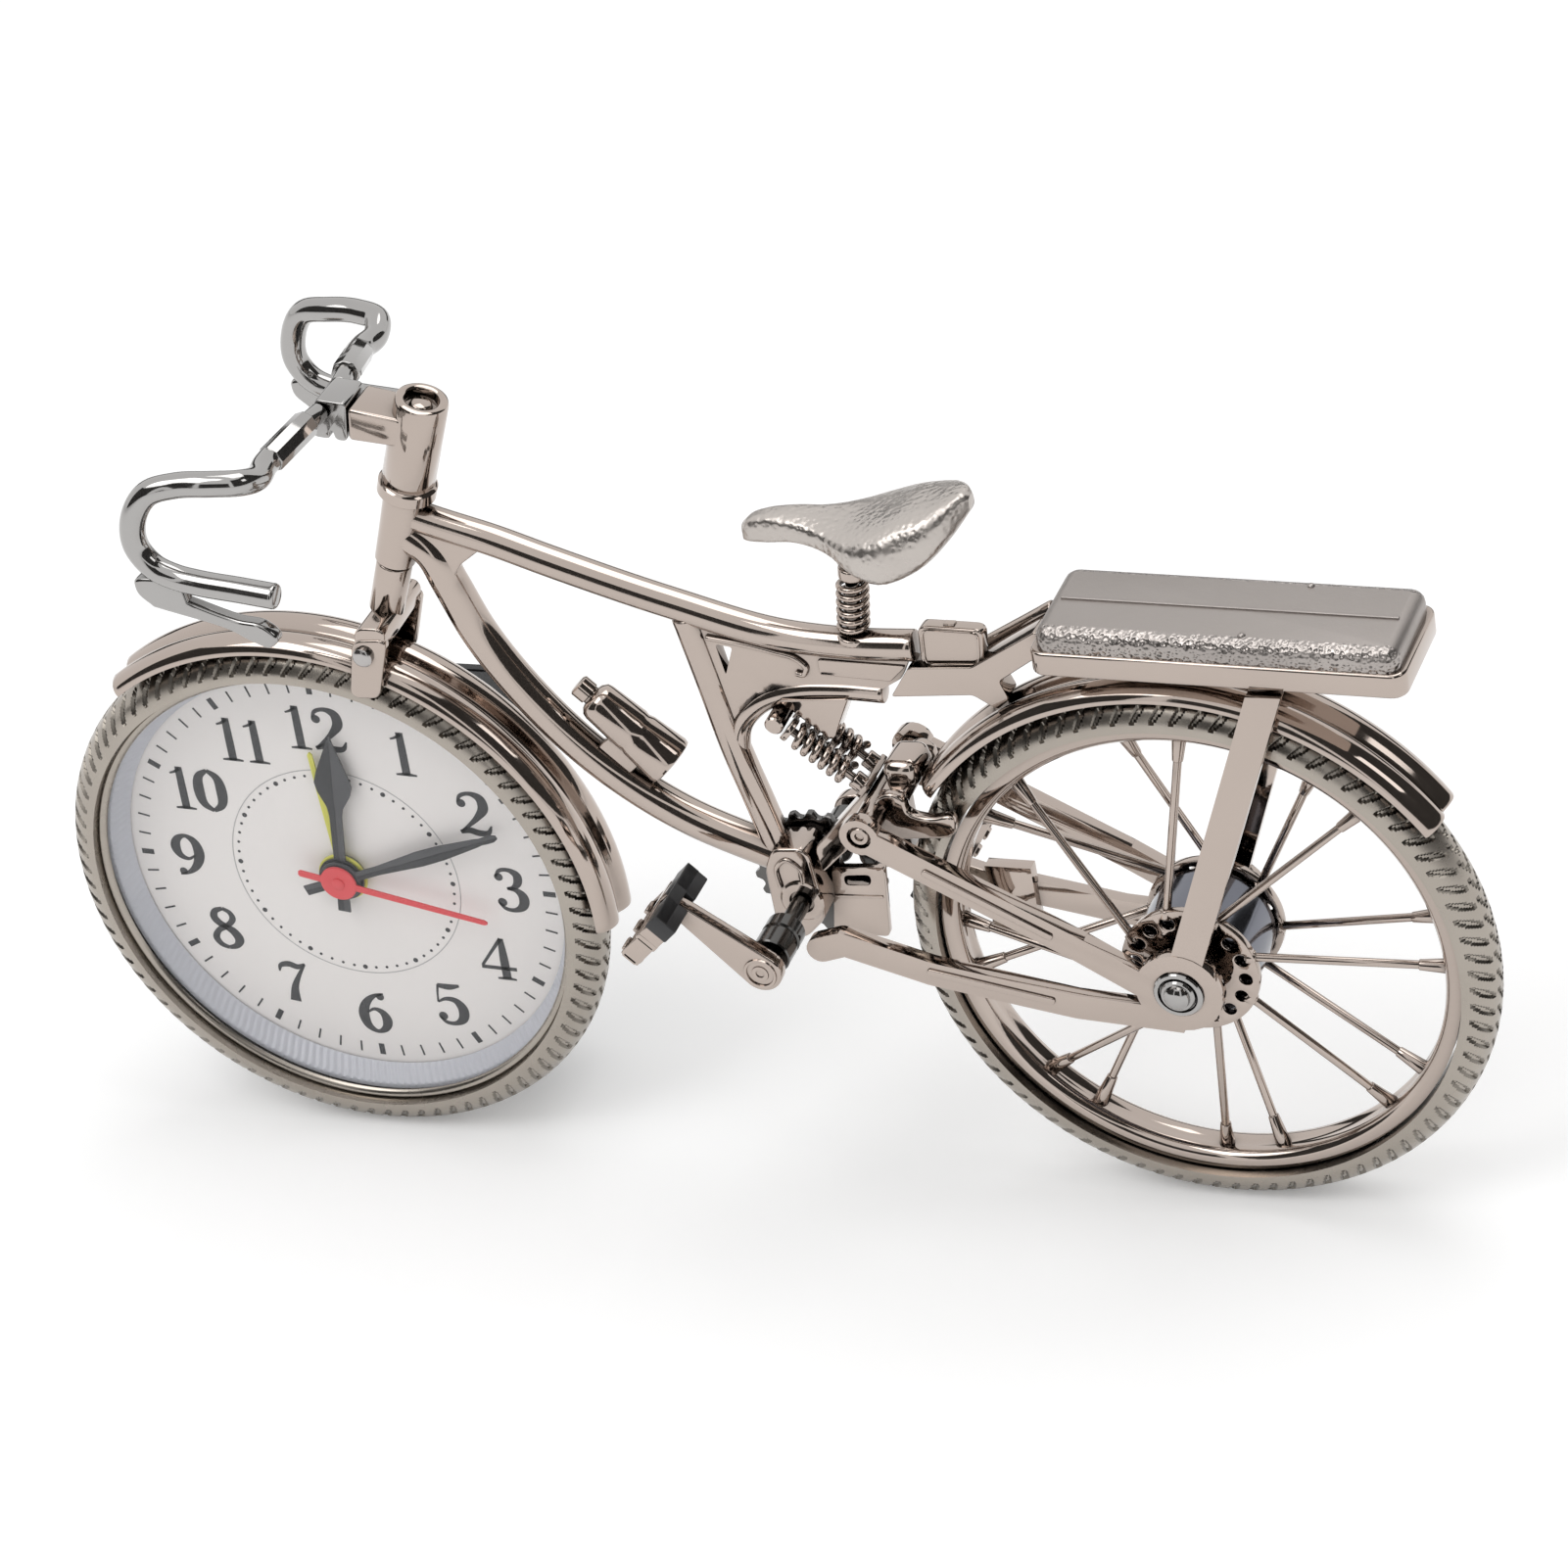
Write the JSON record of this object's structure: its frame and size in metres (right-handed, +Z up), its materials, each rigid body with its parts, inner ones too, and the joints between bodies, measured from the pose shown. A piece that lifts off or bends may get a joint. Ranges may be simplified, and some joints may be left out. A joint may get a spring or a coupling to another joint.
{
  "type": "bicycle-shaped alarm clock",
  "caption": "Plated desk alarm clock in the shape of a bicycle, with the dial and movement in its front wheel, a turning rear wheel, cranks, springs, saddle and rack.",
  "frame": {"origin": "centre of the front tyre's flat where it stands, under the front axle", "axes": "+X from the front wheel to the rear wheel, +Z up, the dial faces -Y"},
  "size_m": [0.2199, 0.0576, 0.129],
  "materials": {
    "nickel_plate": "warm bright nickel plating",
    "silver_plate": "bright silver plating",
    "satin_plate": "satin nickel plating",
    "lid_plate": "satin grey plating, grained at the edges",
    "smoked_plate": "dark plating",
    "steel": "bright turned steel",
    "black_case": "fine matt",
    "dial_card": "printed matt white",
    "hand_black": "printed black",
    "hand_red": "painted red",
    "hand_yellow": "painted yellow green",
    "frosted_ring": "ribbed and frosted",
    "lens": "clear and glossy",
    "white_gear": "moulded white",
    "board": "green board",
    "brass_disc": "bright",
    "cell": "wrapped cell"
  },
  "bodies": {
    "frame": {"main_frame": "nickel_plate", "rack_yoke": "nickel_plate", "swing_bridge": "nickel_plate", "left_stay": "nickel_plate", "right_stay": "nickel_plate", "rear_fender": "nickel_plate", "rack_tray": "nickel_plate", "rack_lid": "lid_plate", "seat_post": "nickel_plate", "saddle": "silver_plate", "saddle_spring": "steel", "water_bottle": "nickel_plate", "shock_rods": "nickel_plate", "shock_spring_left": "steel", "shock_spring_right": "steel", "rear_axle": "steel", "axle_nut_left": "nickel_plate", "axle_nut_right": "nickel_plate", "pivot_screw_left": "steel", "pivot_screw_right": "steel"},
    "fork": {"fork": "nickel_plate", "fork_screw_left": "steel", "fork_screw_right": "steel", "stem": "nickel_plate", "bar_clamp": "silver_plate", "handlebar_left": "silver_plate", "handlebar_right": "silver_plate", "brake_lever_left": "silver_plate", "brake_lever_right": "silver_plate", "front_fender": "nickel_plate", "front_tyre": "satin_plate", "clock_lens": "lens", "dial_ring": "frosted_ring", "dial": "dial_card", "movement_case": "black_case", "back_cover": "black_case", "battery": "cell", "circuit_board": "board", "buzzer": "brass_disc"},
    "second_hand": {"second_hand": "hand_red", "second_wheel": "steel"},
    "minute_hand": {"minute_hand": "hand_black", "minute_wheel": "white_gear"},
    "hour_hand": {"hour_hand": "hand_black", "hour_wheel": "white_gear"},
    "alarm_hand": {"alarm_hand": "hand_yellow", "alarm_wheel": "white_gear"},
    "time_knob": {"time_knob": "black_case"},
    "alarm_knob": {"alarm_knob": "black_case"},
    "alarm_switch": {"alarm_switch": "black_case"},
    "battery_door": {"battery_door": "black_case"},
    "rear_wheel": {"rear_tyre": "satin_plate", "rear_spokes": "nickel_plate", "hub_shell": "smoked_plate"},
    "crankset": {"crank_spindle": "smoked_plate", "crank_left": "nickel_plate", "crank_right": "nickel_plate", "chainring": "nickel_plate"},
    "pedal_left": {"pedal_left": "smoked_plate"},
    "pedal_right": {"pedal_right": "smoked_plate"}
  },
  "joints": [
    {"name": "steering", "type": "hinge", "parent": "frame", "child": "fork", "pos_m": [0.0267, 0, 0.1123], "axis": [0.3535, 0, 0.9354], "range_deg": [-20, 20]},
    {"name": "rear_wheel_spin", "type": "hinge", "parent": "frame", "child": "rear_wheel", "pos_m": [0.1345, 0, 0.0422], "axis": [0, 1, 0], "continuous": true},
    {"name": "crank_spin", "type": "hinge", "parent": "frame", "child": "crankset", "pos_m": [0.076, 0, 0.0469], "axis": [0, 1, 0], "continuous": true},
    {"name": "pedal_left_pivot", "type": "hinge", "parent": "crankset", "child": "pedal_left", "pos_m": [0.06456, -0.0199, 0.0572], "axis": [0, 1, 0], "range_deg": [-25, 25]},
    {"name": "pedal_right_pivot", "type": "hinge", "parent": "crankset", "child": "pedal_right", "pos_m": [0.08744, 0.0199, 0.0366], "axis": [0, 1, 0], "range_deg": [-25, 25]},
    {"name": "second_hand_turn", "type": "hinge", "parent": "fork", "child": "second_hand", "pos_m": [0, 0, 0.0422], "axis": [0, 1, 0], "continuous": true},
    {"name": "time_knob_turn", "type": "hinge", "parent": "fork", "child": "time_knob", "pos_m": [-0.0115, 0.022, 0.0542], "axis": [0, 1, 0], "continuous": true},
    {"name": "minute_hand_turn", "type": "hinge", "parent": "fork", "child": "minute_hand", "pos_m": [0, 0, 0.0422], "axis": [0, 1, 0], "continuous": true},
    {"name": "hour_hand_turn", "type": "hinge", "parent": "fork", "child": "hour_hand", "pos_m": [0, 0, 0.0422], "axis": [0, 1, 0], "continuous": true},
    {"name": "alarm_knob_turn", "type": "hinge", "parent": "fork", "child": "alarm_knob", "pos_m": [0.0125, 0.022, 0.0542], "axis": [0, 1, 0], "continuous": true},
    {"name": "alarm_hand_turn", "type": "hinge", "parent": "fork", "child": "alarm_hand", "pos_m": [0, 0, 0.0422], "axis": [0, 1, 0], "continuous": true},
    {"name": "alarm_switch_slide", "type": "slide", "parent": "fork", "child": "alarm_switch", "axis": [1, 0, 0], "range_m": [0, 0.004]},
    {"name": "battery_door_slide", "type": "slide", "parent": "fork", "child": "battery_door", "axis": [0, 0, -1], "range_m": [0, 0.014]}
  ],
  "couplings": [
    {"joint": "minute_hand_turn", "follows": "time_knob_turn", "ratio": -1.3315},
    {"joint": "hour_hand_turn", "follows": "time_knob_turn", "ratio": -0.11096},
    {"joint": "alarm_hand_turn", "follows": "alarm_knob_turn", "ratio": -1.1285}
  ]
}
